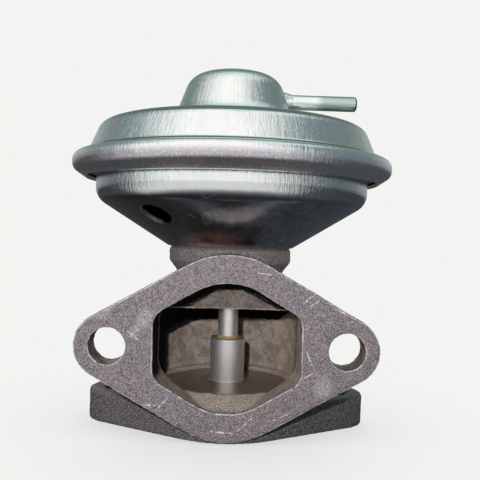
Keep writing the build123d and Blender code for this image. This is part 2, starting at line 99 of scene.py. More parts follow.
# ---------------------------------------------------------------- node helpers
class Nodes:
    """A node tree with one short method for each kind of node that the materials use."""

    def __init__(self, tree):
        self.tree = tree

    def put(self, socket, value):
        """Links a socket to another one, or gives it a plain value."""
        if isinstance(value, bpy.types.NodeSocket):
            self.tree.links.new(value, socket)
        elif socket.type == "RGBA" and len(value) == 3:
            socket.default_value = (*value, 1)
        else:
            socket.default_value = value

    def add(self, kind, **settings):
        node = self.tree.nodes.new(kind)
        for name, value in settings.items():
            setattr(node, name, value)
        return node

    def math(self, operation, first, second=0.0, clamp=False):
        node = self.add("ShaderNodeMath", operation=operation, use_clamp=clamp)
        self.put(node.inputs[0], first)
        self.put(node.inputs[1], second)
        return node.outputs[0]

    def plus(self, first, second):
        return self.math("ADD", first, second)

    def minus(self, first, second):
        return self.math("SUBTRACT", first, second)

    def times(self, first, second):
        return self.math("MULTIPLY", first, second)

    def over(self, first, second):
        return self.math("DIVIDE", first, second)

    def larger(self, first, second):
        return self.math("MAXIMUM", first, second)

    def smaller(self, first, second):
        return self.math("MINIMUM", first, second)

    def absolute(self, value):
        return self.math("ABSOLUTE", value)

    def distance(self, x, y):
        """Distance from the stem's axis, which is the frame's z axis."""
        return self.math("SQRT", self.plus(self.times(x, x), self.times(y, y)))

    def step(self, value, start, end, out_start=0.0, out_end=1.0):
        """Smooth step from one value to another while the input goes from start to end."""
        node = self.add("ShaderNodeMapRange", interpolation_type="SMOOTHSTEP")
        self.put(node.inputs["Value"], value)
        self.put(node.inputs["From Min"], start)
        self.put(node.inputs["From Max"], end)
        self.put(node.inputs["To Min"], out_start)
        self.put(node.inputs["To Max"], out_end)
        return node.outputs["Result"]

    def fall(self, value, start, end):
        """The same, but from 1 down to 0."""
        return self.step(value, start, end, 1.0, 0.0)

    def scaled(self, vector, x, y, z):
        node = self.add("ShaderNodeVectorMath", operation="MULTIPLY")
        self.put(node.inputs[0], vector)
        self.put(node.inputs[1], (x, y, z))
        return node.outputs[0]

    def combined(self, x, y, z):
        node = self.add("ShaderNodeCombineXYZ")
        for socket, value in zip(node.inputs, (x, y, z)):
            self.put(socket, value)
        return node.outputs[0]

    def separated(self, vector):
        node = self.add("ShaderNodeSeparateXYZ")
        self.put(node.inputs[0], vector)
        return node.outputs

    def noise(self, vector, scale, detail=2.0, roughness=0.5, distortion=0.0):
        node = self.add("ShaderNodeTexNoise")
        self.put(node.inputs["Vector"], vector)
        self.put(node.inputs["Scale"], scale)
        self.put(node.inputs["Detail"], detail)
        self.put(node.inputs["Roughness"], roughness)
        self.put(node.inputs["Distortion"], distortion)
        return node.outputs["Fac"]

    def blend(self, factor, first, second, kind="MIX"):
        node = self.add("ShaderNodeMix", data_type="RGBA", blend_type=kind)
        self.put(node.inputs["Factor"], factor)
        self.put(node.inputs[6], first)
        self.put(node.inputs[7], second)
        return node.outputs[2]

    def crevice(self, reach, open_share=0.6):
        """1 deep in gaps and corners narrower than the reach, and 0 out in the open."""
        node = self.add("ShaderNodeAmbientOcclusion", samples=8)
        self.put(node.inputs["Distance"], reach * MM)
        return self.fall(node.outputs["AO"], 0.12, open_share)

    def off_axis(self, place, point, axis):
        """Distance from a line through a point."""
        away = self.add("ShaderNodeVectorMath", operation="SUBTRACT")
        self.put(away.inputs[0], place)
        self.put(away.inputs[1], point)
        across = self.add("ShaderNodeVectorMath", operation="CROSS_PRODUCT")
        self.put(across.inputs[0], away.outputs[0])
        self.put(across.inputs[1], axis)
        length = self.add("ShaderNodeVectorMath", operation="LENGTH")
        self.put(length.inputs[0], across.outputs[0])
        return length.outputs["Value"]

    def oval(self, x, z, middle, size):
        """Squared distance from the middle of an oval in the front view; 1 is its edge."""
        off_x = self.over(self.minus(x, middle[0]), size[0])
        off_z = self.over(self.minus(z, middle[1]), size[1])
        return self.plus(self.times(off_x, off_x), self.times(off_z, off_z))

    def bump(self, height, strength, distance, normal=None):
        node = self.add("ShaderNodeBump")
        self.put(node.inputs["Strength"], strength)
        self.put(node.inputs["Distance"], distance * MM)
        self.put(node.inputs["Height"], height)
        if normal is not None:
            self.put(node.inputs["Normal"], normal)
        return node.outputs["Normal"]

    def place(self):
        """Place on the object, in millimetres."""
        coordinates = self.add("ShaderNodeTexCoord").outputs["Object"]
        return self.scaled(coordinates, 1 / MM, 1 / MM, 1 / MM)

    def attribute(self, name):
        return self.add("ShaderNodeAttribute", attribute_name=name).outputs["Fac"]


class Finish(Nodes):
    """A material with its principled shader."""

    def __init__(self, name, metallic, roughness):
        self.material = bpy.data.materials.new(name)
        self.material.use_nodes = True
        super().__init__(self.material.node_tree)
        self.shader = self.tree.nodes["Principled BSDF"]
        self.set("Metallic", metallic)
        self.set("Roughness", roughness)

    def set(self, socket, value):
        self.put(self.shader.inputs[socket], value)


# ---------------------------------------------------------------- zinc plating
BREATHER_POINT = (-17.96, -23.40, 55.11)
BREATHER_AXIS = (-0.321, -0.418, -0.850)
BREATHER_R = 4.0
TOWER_STREAKS = 17           # how fine the streaks are round the tower and round the shoulder
SHOULDER_STREAKS = 36

ZINC = (0.79, 0.795, 0.785)
ZINC_TEAL = (0.69, 0.77, 0.74)
ZINC_VIOLET = (0.76, 0.735, 0.79)
ZINC_DULL = (0.30, 0.32, 0.33)
# Painted dark reflection along the shoulder's bend, then painted shade in the crease where the wall turns
# out into the rim.
BEND_DARK_REFLECTION = (0.20, 0.29, 0.26)
CREASE_SHADE = (0.08, 0.13, 0.11)
# Painted shade in gaps and narrow corners.
GAP_SHADE = (0.02, 0.022, 0.02)
# Worn rim; its paler, bluer right side is painted reflection.
RIM_WORN_AND_SIDE_REFLECTION = (0.50, 0.465, 0.50), (0.64, 0.68, 0.73)       # on its left and on its right
RIM_SPECKS = (0.88, 0.87, 0.88)
# Painted shade: the lower shell paler on its front and darker on its sides.
LOWER_SIDE_SHADE = (0.88, 0.89, 0.89), (0.60, 0.64, 0.66)          # on the lower shell's front and on its sides
# Painted highlight on the breather hole's lower left edge.
BREATHER_HIGHLIGHT = (0.86, 0.87, 0.87)

# Painted reflection on the cone: dark on its left, paler and bluer on its right, with darker patches,
# lighter grains, the casting's colour at its foot and a pale sheen at its front; then the colour of its
# scratches.
CONE_DARK_REFLECTION = (0.160, 0.160, 0.170), (0.36, 0.45, 0.52)         # on the cone's left and on its right
CONE_DARKER_REFLECTION = (0.10, 0.10, 0.105)
CONE_REFLECTION_GRAINS = (0.36, 0.37, 0.38)
CONE_CASTING_REFLECTION = (0.74, 0.52, 0.47)
CONE_PALE_REFLECTION = (0.66, 0.65, 0.65)
CONE_SCRATCH_COLOUR = (0.85, 0.85, 0.85)
# Ovals of painted reflection on the cone in the front view: the (x, z) of the middle, and half the width and
# height.
PALE_REFLECTION_OVAL = (2.2, 54.9), (7.4, 2.4)
SMALL_REFLECTION_OVAL = (-5.6, 54.2), (1.5, 1.7)
CASTING_REFLECTION_OVAL = (-4.0, 48.9), (8.0, 2.6)
# Scratches on the cone, each from one (x, z) to another, with its width.
CONE_SCRATCHES = (
    ((-8.4, 60.4), (-5.6, 58.7), 0.16), ((-5.6, 58.7), (-3.4, 59.5), 0.14),
    ((-10.2, 55.3), (-8.4, 54.6), 0.12), ((7.4, 51.3), (8.3, 52.0), 0.14),
    ((16.8, 56.2), (18.3, 56.8), 0.12),
)


def scratch(finish, x, z, start, end, width):
    """1 on a straight stroke between two places in the front view, fading over its width."""
    run = Vector(end) - Vector(start)
    from_x = finish.minus(x, start[0])
    from_z = finish.minus(z, start[1])
    dot = finish.plus(finish.times(from_x, run.x), finish.times(from_z, run.y))
    share = finish.math("DIVIDE", dot, run.length_squared, clamp=True)
    off_x = finish.minus(from_x, finish.times(share, run.x))
    off_z = finish.minus(from_z, finish.times(share, run.y))
    off = finish.plus(finish.times(off_x, off_x), finish.times(off_z, off_z))
    return finish.fall(off, 0.0, width * width)


def cone_painted_reflection(finish, place, grain, tint):
    """Painted reflection on the lower shell's cone: dark, with a pale painted reflection at its front and
    the casting's colour painted at its foot, and scratches over it.
    """
    x, y, z = finish.separated(place)
    cone = finish.fall(z, lower_wall_foot_z - 0.6, lower_wall_foot_z + 0.3)
    ragged = finish.minus(finish.noise(place, 0.5, 4, 0.65, 0.4), 0.5)
    front = finish.step(y, -6.0, -14.0)
    # Painted pale reflection in two ovals at the cone's front, and the casting's colour painted at its foot.
    pale_reflection = finish.plus(finish.oval(x, z, *PALE_REFLECTION_OVAL), finish.times(ragged, 2.0))
    pale_reflection = finish.times(finish.step(pale_reflection, 0.0, 1.5, 0.62, 0.0), front)
    patch = finish.plus(finish.oval(x, z, *SMALL_REFLECTION_OVAL), finish.times(ragged, 3.0))
    patch = finish.times(finish.step(patch, 0.7, 1.1, 0.5, 0.0), front)
    casting_reflection = finish.plus(finish.oval(x, z, *CASTING_REFLECTION_OVAL), finish.times(ragged, 1.5))
    casting_reflection = finish.times(finish.fall(casting_reflection, 0.0, 1.4), front)
    # Painted dark reflection over the whole cone.
    painted_reflection = finish.blend(finish.step(x, -22.0, 24.0), *CONE_DARK_REFLECTION)
    painted_reflection = finish.blend(finish.step(ragged, -0.2, 0.2, 0.0, 0.5), painted_reflection, CONE_DARKER_REFLECTION)
    painted_reflection = finish.blend(finish.step(grain, 0.55, 0.75, 0.0, 0.35), painted_reflection, CONE_REFLECTION_GRAINS)
    painted_reflection = finish.blend(casting_reflection, painted_reflection, CONE_CASTING_REFLECTION)
    painted_reflection = finish.blend(finish.larger(pale_reflection, patch), painted_reflection, CONE_PALE_REFLECTION)
    marks = 0.0
    for start, end, width in CONE_SCRATCHES:
        marks = finish.larger(marks, scratch(finish, x, z, start, end, width))
    marks = finish.times(finish.times(marks, front), 0.7)
    return finish.blend(marks, finish.blend(cone, tint, painted_reflection), CONE_SCRATCH_COLOUR)


def drawn_place(finish, place, tube):
    """The place, stretched so that noise on it runs in streaks along the tube or down the shells."""
    if tube:
        return finish.scaled(place, 0.05, 1, 1)
    x, y, z = finish.separated(place)
    radius = finish.distance(x, y)
    streaks = finish.step(radius, 20, 24, TOWER_STREAKS, SHOULDER_STREAKS)
    around = finish.over(streaks, finish.larger(radius, 0.5))
    return finish.combined(finish.times(x, around), finish.times(y, around), finish.times(z, 0.12))


def zinc_tint(finish, place, grain, worn):
    """The plating's colour: tinted patches, painted dark reflection on the shoulder's bend, painted shade in
    the crease, and a worn rim whose paler, bluer right side is painted reflection.
    """
    x, y, z = finish.separated(place)
    radius = finish.distance(x, y)
    patches = finish.noise(finish.scaled(place, 1, 1, 0.6), 0.11, 3, 0.6, 0.4)
    patches_two = finish.noise(finish.scaled(place, -1, 1, 0.6), 0.15, 2, 0.55)
    tint = finish.blend(finish.step(patches, 0.46, 0.66), ZINC, ZINC_TEAL)
    tint = finish.blend(finish.step(patches_two, 0.52, 0.70), tint, ZINC_VIOLET)
    tint = finish.blend(finish.step(grain, 0.58, 0.75, 0.0, 0.18), tint, ZINC_DULL)
    # Painted dark reflection along the shoulder's bend.
    bend = finish.step(z, shoulder_top_z - 1.5, shoulder_top_z - 0.5)
    bend = finish.times(bend, finish.step(radius, 22, 25))
    tint = finish.blend(finish.times(bend, 0.6), tint, BEND_DARK_REFLECTION)
    # Painted shade in the crease.
    crease = finish.fall(finish.absolute(finish.minus(z, crease_z)), 0.1, 0.45)
    crease = finish.times(crease, finish.step(radius, rim_r - 6.0, rim_r - 5.0))
    tint = finish.blend(finish.times(crease, 0.85), tint, CREASE_SHADE)
    specks = finish.step(finish.noise(place, 2.4, 4, 0.75), 0.50, 0.68)
    worn_tint = finish.blend(finish.step(x, 0.0, 34.0), *RIM_WORN_AND_SIDE_REFLECTION)
    return finish.blend(worn, tint, finish.blend(specks, worn_tint, RIM_SPECKS))


def worn_rim(finish, z, radius):
    """1 on the outside of the rolled rim, below its upper face."""
    on_rim = finish.step(radius, rim_r - 3.2, rim_r - 1.8)
    return finish.times(on_rim, finish.fall(z, rim_lip_z + 3.3, rim_lip_z + 4.9))


def breather_highlight(finish, place):
    """1 along the lower left edge of the breather hole, where a highlight is painted."""
    x, _, z = finish.separated(place)
    from_rim = finish.minus(finish.off_axis(place, BREATHER_POINT, BREATHER_AXIS), BREATHER_R)
    breather_lit = finish.fall(finish.absolute(from_rim), 0.08, 0.30)
    lean = finish.plus(finish.times(x, 0.6), finish.times(z, 0.8))
    middle = 0.6 * BREATHER_POINT[0] + 0.8 * BREATHER_POINT[2]
    return finish.times(breather_lit, finish.fall(lean, middle - 1.5, middle + 0.5))


def streak_depth(finish, z, radius, lower_shell, tube):
    """How deep the drawing streaks are: nearly none on the cone, the tube and the flat tops."""
    if lower_shell:
        return finish.step(z, lower_wall_foot_z - 0.5, lower_wall_foot_z + 2.0, 0.03, 0.18)
    if tube:
        return 0.03
    off_shoulder = finish.absolute(finish.minus(z, shoulder_top_z))
    flat = finish.times(finish.fall(off_shoulder, 0.5, 1.2), finish.step(radius, 19, 22))
    flat = finish.larger(flat, finish.step(z, tower_top_z - 1.5, tower_top_z - 0.3))
    return finish.step(flat, 0.0, 1.0, 0.16, 0.03)


def zinc_plate(name, lower_shell=False, tube=False):
    """Drawn sheet steel under a tinted zinc plating, with drawing streaks along it."""
    finish = Finish(name, 1.0, 0.22)
    place = finish.place()
    x, y, z = finish.separated(place)
    radius = finish.distance(x, y)
    drawn = drawn_place(finish, place, tube)
    streaks = finish.noise(drawn, 1.9, 3, 0.75)
    wide_streaks = finish.noise(drawn, 0.35, 2, 0.6)
    grain = finish.noise(place, 3.2, 3, 0.7)
    worn = worn_rim(finish, z, radius)
    breather_lit = breather_highlight(finish, place) if lower_shell else 0.0

    tint = zinc_tint(finish, place, grain, worn)
    if lower_shell:
        # Painted shade: the lower shell darker on its sides than on its front.
        side_shade = finish.blend(finish.step(finish.absolute(x), 18.0, 30.0), *LOWER_SIDE_SHADE)
        tint = finish.blend(1.0, tint, side_shade, "MULTIPLY")
        # Painted reflection on the cone.
        tint = cone_painted_reflection(finish, place, grain, tint)
    # Painted shade in gaps and narrow corners.
    tint = finish.blend(finish.times(finish.crevice(2.2), 0.92), tint, GAP_SHADE)
    if lower_shell:
        # Painted highlight on the breather hole's lower left edge.
        tint = finish.blend(breather_lit, tint, BREATHER_HIGHLIGHT)
    finish.set("Base Color", tint)

    rough = finish.step(streaks, 0.3, 0.7, 0.13, 0.22)
    rough = finish.plus(rough, finish.times(worn, 0.18))
    finish.set("Roughness", finish.plus(rough, finish.times(breather_lit, 0.25)))
    depth = streak_depth(finish, z, radius, lower_shell, tube)
    normal = finish.bump(finish.times(wide_streaks, depth), 0.7, 1.0)
    normal = finish.bump(finish.times(streaks, depth), 0.9, 0.85, normal)
    finish.set("Normal", finish.bump(grain, 0.25, 0.03, normal))
    return finish.material


# ---------------------------------------------------------------- cast iron
# Scratches on the outlet face, each from one (x, z) to another, with its width.
SCRATCHES = (
    ((-20.9, 9.4), (-15.6, 9.3), 0.22), ((-16.6, 8.2), (-14.0, 11.1), 0.18),
    ((18.1, 34.8), (20.1, 36.5), 0.22), ((19.5, 34.0), (21.8, 35.4), 0.18),
    ((18.7, 23.8), (20.4, 20.2), 0.20), ((17.9, 16.4), (21.6, 18.4), 0.16),
    ((25.4, 33.6), (29.0, 32.2), 0.26), ((7.0, 41.7), (9.9, 41.4), 0.24),
    ((3.1, 3.7), (6.3, 6.8), 0.18), ((-3.2, 3.4), (1.8, 3.0), 0.30),
    ((-24.0, 27.0), (-21.4, 25.0), 0.20), ((11.5, 6.4), (14.8, 7.9), 0.16),
)
# Rubbed patches on it, each with its (x, z) and size.
RUBBED_PATCHES = (((23.0, 13.9), 2.6), ((-22.6, 26.0), 1.3), ((-20.2, 29.4), 2.4), ((-30.5, 31.8), 3.0))
BOLT_X = 29.0
BOLT_Z = 23.2
BOLT_R = 4.5
FLANGE_T = 8.0               # thickness of the outlet flange
PASSAGE_Z = 23.2             # middle of the six-sided outlet passage
PASSAGE_SLOPE = math.radians(30)
PASSAGE_FLAT = 15.7          # from its middle to each sloping side
PASSAGE_HALF = 18.0          # half its width
CHAMBER_R = 19.5
WEB_Y = -12.0                # front of the web over the chamber

# Edges of the painted shadow in the front view, in black: a slope along x, and a height or depth over the
# middle.
WEB_SHADOW_SLOPE = 0.055
WEB_SHADOW_DEPTH = 2.8         # how far down from the passage's roof it covers the web
ROOF_SHADOW = 36.0, 36.8
LEVEL_SHADOW_SLOPE = 0.06
LEVEL_SHADOW_Z = 24.8
LEVEL_SHADOW_END = 15.0        # to the right of this x the chamber's painted shadow draws back upwards
FALLING_SHADOW_SLOPE = 0.455
FALLING_SHADOW_Z = 28.8
LEFT_SHADOW = -16.6, -17.6

# Pairs of colours that a noise or a place blends between, the first where it is low.
FACE_PITS = (0.080, 0.069, 0.077), (0.096, 0.079, 0.081)
FACE_GRAINS = (0.305, 0.272, 0.29), (0.325, 0.28, 0.288)
SKIN = (0.045, 0.039, 0.041), (0.29, 0.255, 0.255)
# On the inlet flange, from its left to its right; the darker right is painted shade.
INLET_PITS_RIGHT_SHADED = (0.026, 0.022, 0.025), (0.015, 0.016, 0.018)
INLET_GRAINS_RIGHT_SHADED = (0.265, 0.235, 0.25), (0.180, 0.187, 0.197)
ASH = (0.45, 0.38, 0.33), (0.25, 0.20, 0.165)
ASH_PITS = (0.14, 0.11, 0.09)
SAND = (0.17, 0.14, 0.115), (0.50, 0.43, 0.37)
# Painted light: the passage's right wall paler and warm.
RIGHT_WALL_LIT = (0.54, 0.43, 0.345), (0.36, 0.28, 0.22)
RIGHT_WALL_PITS = (0.16, 0.12, 0.095)
# Painted shade: the web over the chamber darker.
WEB_SHADE = (0.18, 0.145, 0.125), (0.085, 0.07, 0.062)
WEB_PALE = (0.30, 0.26, 0.23)
WEB_PITS = (0.025, 0.021, 0.02)
# Painted shadow, black, in the chamber and the passage.
SHADOW_BLACK = (0.008, 0.007, 0.007)
RUST = (0.27, 0.23, 0.195), (0.10, 0.085, 0.075)
RUST_PITS = (0.05, 0.042, 0.038)
# Rubbed iron, also used for painted glints on the grain and a painted highlight along edges.
BRIGHT_IRON_AND_GLINT = (0.80, 0.78, 0.78)
# Painted shade in the hollows of the inside.
HOLLOW_SHADE = (0.04, 0.035, 0.033)


def rubbed_marks(finish, place):
    """Scratches and rubbed patches on the outlet face."""
    x, y, z = finish.separated(place)
    marks = 0.0
    for start, end, width in SCRATCHES:
        marks = finish.larger(marks, scratch(finish, x, z, start, end, width))
    broken = finish.step(finish.noise(place, 1.6, 3, 0.7), 0.42, 0.58)
    marks = finish.times(marks, broken)
    patch_grain = finish.step(finish.noise(place, 3.0, 3, 0.7), 0.38, 0.70, 0.0, 0.6)
    for middle, size in RUBBED_PATCHES:
        patch = scratch(finish, x, z, middle, (middle[0] + 0.5, middle[1] + 1.5), size)
        marks = finish.larger(marks, finish.times(patch, patch_grain))
    return finish.times(marks, finish.fall(y, outlet_y + 0.3, outlet_y + 0.5))


def painted_shadow(finish, x, y, z, ragged):
    """Painted shadow in black: high in the chamber and down its left side, and on the passage's roof and
    left wall.
    """
    across = finish.times(finish.absolute(x), math.sin(PASSAGE_SLOPE))
    raised = finish.times(finish.minus(z, PASSAGE_Z), math.cos(PASSAGE_SLOPE))
    towards_roof = finish.plus(finish.plus(across, raised), finish.times(ragged, 0.8))
    above_web = finish.step(z, web_z + 0.1, web_z + 0.5)
    roof = finish.times(finish.step(towards_roof, PASSAGE_FLAT - 0.9, PASSAGE_FLAT - 0.4), above_web)

    web_line = finish.plus(finish.times(x, WEB_SHADOW_SLOPE), PASSAGE_FLAT - WEB_SHADOW_DEPTH)
    past_line = finish.minus(towards_roof, web_line)
    web_top = finish.larger(finish.step(past_line, -0.2, 0.4), finish.step(z, *ROOF_SHADOW))
    web_top = finish.times(web_top, above_web)

    # In the chamber the painted shadow's lower edge is nearly level, and falls away towards the left.
    level = finish.plus(finish.times(x, LEVEL_SHADOW_SLOPE), LEVEL_SHADOW_Z)
    level = finish.plus(level, finish.larger(finish.minus(x, LEVEL_SHADOW_END), 0.0))
    falling = finish.plus(finish.times(x, FALLING_SHADOW_SLOPE), FALLING_SHADOW_Z)
    above = finish.minus(finish.plus(z, ragged), finish.smaller(level, falling))
    upper = finish.times(finish.step(above, -0.2, 0.3), finish.step(y, WEB_Y + 0.2, WEB_Y + 0.8))
    left = finish.step(finish.plus(x, ragged), *LEFT_SHADOW)
    return finish.larger(finish.larger(roof, web_top), finish.larger(upper, left))


def iron_outside(finish, place, grain, coarse):
    """The blasted outlet face, the darker skin of the casting behind it, and the inlet flange, with painted
    shade darkening the flange towards its right.
    """
    x, y, z = finish.separated(place)
    warm = finish.step(finish.noise(place, 0.16, 3, 0.6, 0.3), 0.42, 0.62)
    lit_grain = finish.step(finish.plus(grain, finish.times(coarse, 0.15)), 0.46, 0.72)
    face = finish.blend(lit_grain, finish.blend(warm, *FACE_PITS), finish.blend(warm, *FACE_GRAINS))
    skin = finish.blend(lit_grain, *SKIN)
    # Painted shade: the inlet flange darker towards its right.
    to_right = finish.step(x, -10.0, 25.0)
    pits = finish.blend(to_right, *INLET_PITS_RIGHT_SHADED)
    flange = finish.blend(finish.step(grain, 0.40, 0.66), pits, finish.blend(to_right, *INLET_GRAINS_RIGHT_SHADED))
    behind_face = finish.step(y, outlet_y + 0.3, outlet_y + 1.2)
    on_inlet = finish.times(behind_face, finish.fall(z, 8.0, 17.0))
    return finish.blend(on_inlet, finish.blend(behind_face, face, skin), flange)


def iron_inside(finish, place, grain, coarse, stains):
    """Ash in the chamber and the passage: sandy on the floor, with painted light making it pale and warm on
    the right wall, and painted shade making it dark on the web.
    """
    x, _, z = finish.separated(place)
    ash = finish.blend(finish.step(stains, 0.40, 0.62), *ASH)
    sand = finish.blend(finish.step(grain, 0.42, 0.60), *SAND)
    ash = finish.blend(finish.step(z, 9.0, 13.0), sand, ash)
    ash = finish.blend(finish.step(grain, 0.36, 0.64, 0.6, 0.0), ash, ASH_PITS)
    # Painted light on the passage's right wall.
    wall = finish.blend(finish.step(stains, 0.40, 0.62), *RIGHT_WALL_LIT)
    wall = finish.blend(finish.step(grain, 0.36, 0.62, 0.5, 0.0), wall, RIGHT_WALL_PITS)
    ash = finish.blend(finish.step(x, 13.0, 17.0, 0.0, 0.8), ash, wall)
    # Painted shade on the web.
    web = finish.blend(finish.step(stains, 0.38, 0.62), *WEB_SHADE)
    web = finish.blend(finish.step(coarse, 0.42, 0.62), finish.blend(0.35, web, WEB_PALE), web)
    web = finish.blend(finish.step(grain, 0.45, 0.62, 0.0, 0.75), web, WEB_PITS)
    return finish.blend(finish.step(z, web_z + 0.2, web_z + 0.6), ash, web)


def bolt_walls(finish, x, y, z):
    """1 on the walls of the outlet flange's bolt holes."""
    from_bolt = finish.combined(finish.minus(finish.absolute(x), BOLT_X), 0.0, z)
    off_bolt = finish.off_axis(from_bolt, (0, 0, BOLT_Z), (0, 1, 0))
    walls = finish.fall(off_bolt, BOLT_R + 0.15, BOLT_R + 0.3)
    walls = finish.times(walls, finish.step(y, outlet_y + 0.3, outlet_y + 0.6))
    return finish.times(walls, finish.fall(y, outlet_y + FLANGE_T - 0.6, outlet_y + FLANGE_T - 0.3))


def rubbed_and_glinting(finish, place, grain):
    """Where an edge, a knock or a scratch has rubbed the skin off, with painted glints on the grain; the
    bright edges are worn and also carry a painted highlight.
    """
    _, y, _ = finish.separated(place)
    # Painted glints on the grain.
    painted_glints = finish.step(finish.noise(place, 5.4, 2, 0.6), 0.64, 0.72, 0.0, 0.5)
    # Bright line along the face's edges: wear with a painted highlight.
    face_edge = finish.step(y, outlet_y + 0.08, outlet_y + 0.20)
    face_edge = finish.times(face_edge, finish.fall(y, outlet_y + 0.35, outlet_y + 0.60))
    broken = finish.step(finish.noise(place, 0.7, 4, 0.8), 0.40, 0.56, 0.1, 0.85)
    rubbed = finish.times(finish.attribute("edge"), finish.step(grain, 0.40, 0.62, 0.0, 0.5))
    rubbed = finish.larger(rubbed, painted_glints)
    rubbed = finish.larger(rubbed, finish.times(face_edge, broken))
    return finish.larger(rubbed, finish.times(rubbed_marks(finish, place), 0.75))


def cast_iron():
    """Shot-blasted grey iron: grain with painted glints, rubbed edges with a painted highlight, scratches,
    and a warm, ashy inside with painted shadow and painted shade; the inlet flange carries painted shade.
    """
    finish = Finish("cast_iron", 0.0, 0.6)
    finish.set("Specular IOR Level", 0.12)
    place = finish.place()
    x, y, z = finish.separated(place)
    grain = finish.noise(place, 4.6, 2, 0.6)
    coarse = finish.noise(place, 1.1, 3, 0.6)
    stains = finish.noise(finish.scaled(place, -1, 1, 1), 0.32, 4, 0.7, 0.4)
    ragged = finish.minus(finish.noise(place, 0.5, 3, 0.6), 0.5)
    inside = finish.attribute("inside")

    # Painted shadow, black, over the ash inside.
    painted_shadow_share = finish.times(painted_shadow(finish, x, y, z, ragged), inside)
    ash = finish.blend(painted_shadow_share, iron_inside(finish, place, grain, coarse, stains), SHADOW_BLACK)
    colour = finish.blend(inside, iron_outside(finish, place, grain, coarse), ash)
    rust = finish.blend(finish.step(stains, 0.40, 0.60), *RUST)
    rust = finish.blend(finish.step(grain, 0.40, 0.62, 0.0, 0.5), rust, RUST_PITS)
    colour = finish.blend(bolt_walls(finish, x, y, z), colour, rust)
    # Rubbed iron, with painted glints and painted edge highlights.
    colour = finish.blend(rubbed_and_glinting(finish, place, grain), colour, BRIGHT_IRON_AND_GLINT)
    # Painted shade: the inside is darker in its hollows.
    hollow = finish.times(finish.attribute("hollow"), inside)
    colour = finish.blend(finish.times(hollow, 0.5), colour, HOLLOW_SHADE)
    finish.set("Base Color", colour)

    rough = finish.plus(finish.step(grain, 0.3, 0.7, 0.5, 0.7), finish.times(painted_shadow_share, 0.3))
    finish.set("Roughness", rough)
    normal = finish.bump(coarse, 0.5, 0.12)
    finish.set("Normal", finish.bump(grain, 0.9, 0.12, normal))
    return finish.material


# ---------------------------------------------------------------- other materials
STEEL = (0.88, 0.84, 0.84), (0.80, 0.76, 0.76)
BURNT_STEEL = (0.22, 0.17, 0.15), (0.33, 0.265, 0.24)
DISC_TOP = 11.4, 12.2        # heights over which the poppet's disc gives way to its hub
HUB_FOOT = 4.9, 5.1          # the same, outwards from the stem's axis


def turned_steel(name, dark_disc=False):
    """Ground or turned steel with fine rings round its axis."""
    finish = Finish(name, 0.9, 0.3)
    place = finish.place()
    x, y, z = finish.separated(place)
    radius = finish.distance(x, y)
    rings = finish.noise(finish.combined(0.0, 0.0, finish.plus(z, radius)), 7, 4, 0.7)
    mottle = finish.noise(place, 0.8, 3, 0.6)
    colour = finish.blend(finish.step(mottle, 0.35, 0.7), *STEEL)
    rough = finish.step(rings, 0.3, 0.7, 0.36, 0.46)
    finish.set("Anisotropic", 0.6)
    finish.set("Tangent", finish.add("ShaderNodeTangent", direction_type="RADIAL", axis="Z").outputs[0])
    if dark_disc:
        on_disc = finish.times(finish.fall(z, *DISC_TOP), finish.step(radius, *HUB_FOOT))
        burnt = finish.blend(mottle, *BURNT_STEEL)
        colour = finish.blend(on_disc, colour, burnt)
        rough = finish.minus(rough, finish.times(on_disc, 0.12))
    finish.set("Base Color", colour)
    finish.set("Roughness", rough)
    finish.set("Normal", finish.bump(rings, 0.25, 0.015))
    return finish.material


def plain_metal(name, first, second, roughness, grain_scale=2.0, metallic=1.0):
    """Metal whose colour, gloss and surface vary with a fine grain."""
    finish = Finish(name, metallic, roughness)
    place = finish.place()
    grain = finish.noise(place, grain_scale, 3, 0.65)
    broad = finish.noise(place, 0.3, 2, 0.5)
    colour = finish.blend(finish.step(finish.plus(grain, broad), 0.75, 1.25), first, second)
    finish.set("Base Color", colour)
    finish.set("Roughness", finish.step(grain, 0.3, 0.7, roughness - 0.07, roughness + 0.1))
    finish.set("Normal", finish.bump(grain, 0.3, 0.03))
    return finish.material


def soft_stuff(name, first, second, grain_scale, roughness):
    """Rubber, gasket board or packing, with a fibrous grain."""
    finish = Finish(name, 0.0, roughness)
    place = finish.place()
    grain = finish.noise(place, grain_scale, 4, 0.7)
    finish.set("Base Color", finish.blend(finish.step(grain, 0.3, 0.7), first, second))
    finish.set("Roughness", finish.step(grain, 0.3, 0.7, roughness - 0.08, roughness + 0.08))
    finish.set("Normal", finish.bump(grain, 0.4, 0.05))
    return finish.material


BRASS = (0.98, 0.66, 0.24), (0.80, 0.52, 0.20)


def braze_metal(name):
    """Yellow brass filler, dulled where it ran thin."""
    finish = Finish(name, 0.6, 0.3)
    flow = finish.noise(finish.place(), 1.6, 3, 0.6)
    finish.set("Base Color", finish.blend(finish.step(flow, 0.35, 0.7), *BRASS))
    finish.set("Roughness", finish.step(flow, 0.3, 0.7, 0.22, 0.4))
    finish.set("Normal", finish.bump(flow, 0.3, 0.05))
    return finish.material


def wear(obj, material):
    """Gives a whole mesh one material."""
    obj.data.materials.clear()
    obj.data.materials.append(material)


# ---------------------------------------------------------------- casting
CAST_VOXEL = 0.36
CAST_GRAIN = 0.10            # how far the blasted skin stands in and out
MACHINED_GRAIN = 0.25        # share of it that is left on machined faces
SOFTEN_PASSES = 2
EDGE_LEAN = 0.12             # a vertex that stands out by more than this starts to count as an edge
HOLLOW_LEAN = 0.08           # and one that sinks by more than this as a hollow
LEAN_SPAN = 0.15             # further on, it counts in full


def linked(name, data):
    """A new object in the scene."""
    obj = bpy.data.objects.new(name, data)
    bpy.context.scene.collection.objects.link(obj)
    return obj


def applied(obj):
    """Bakes an object's modifiers into its mesh."""
    graph = bpy.context.evaluated_depsgraph_get()
    mesh = bpy.data.meshes.new_from_object(obj.evaluated_get(graph))
    obj.modifiers.clear()
    obj.data = mesh
    return obj


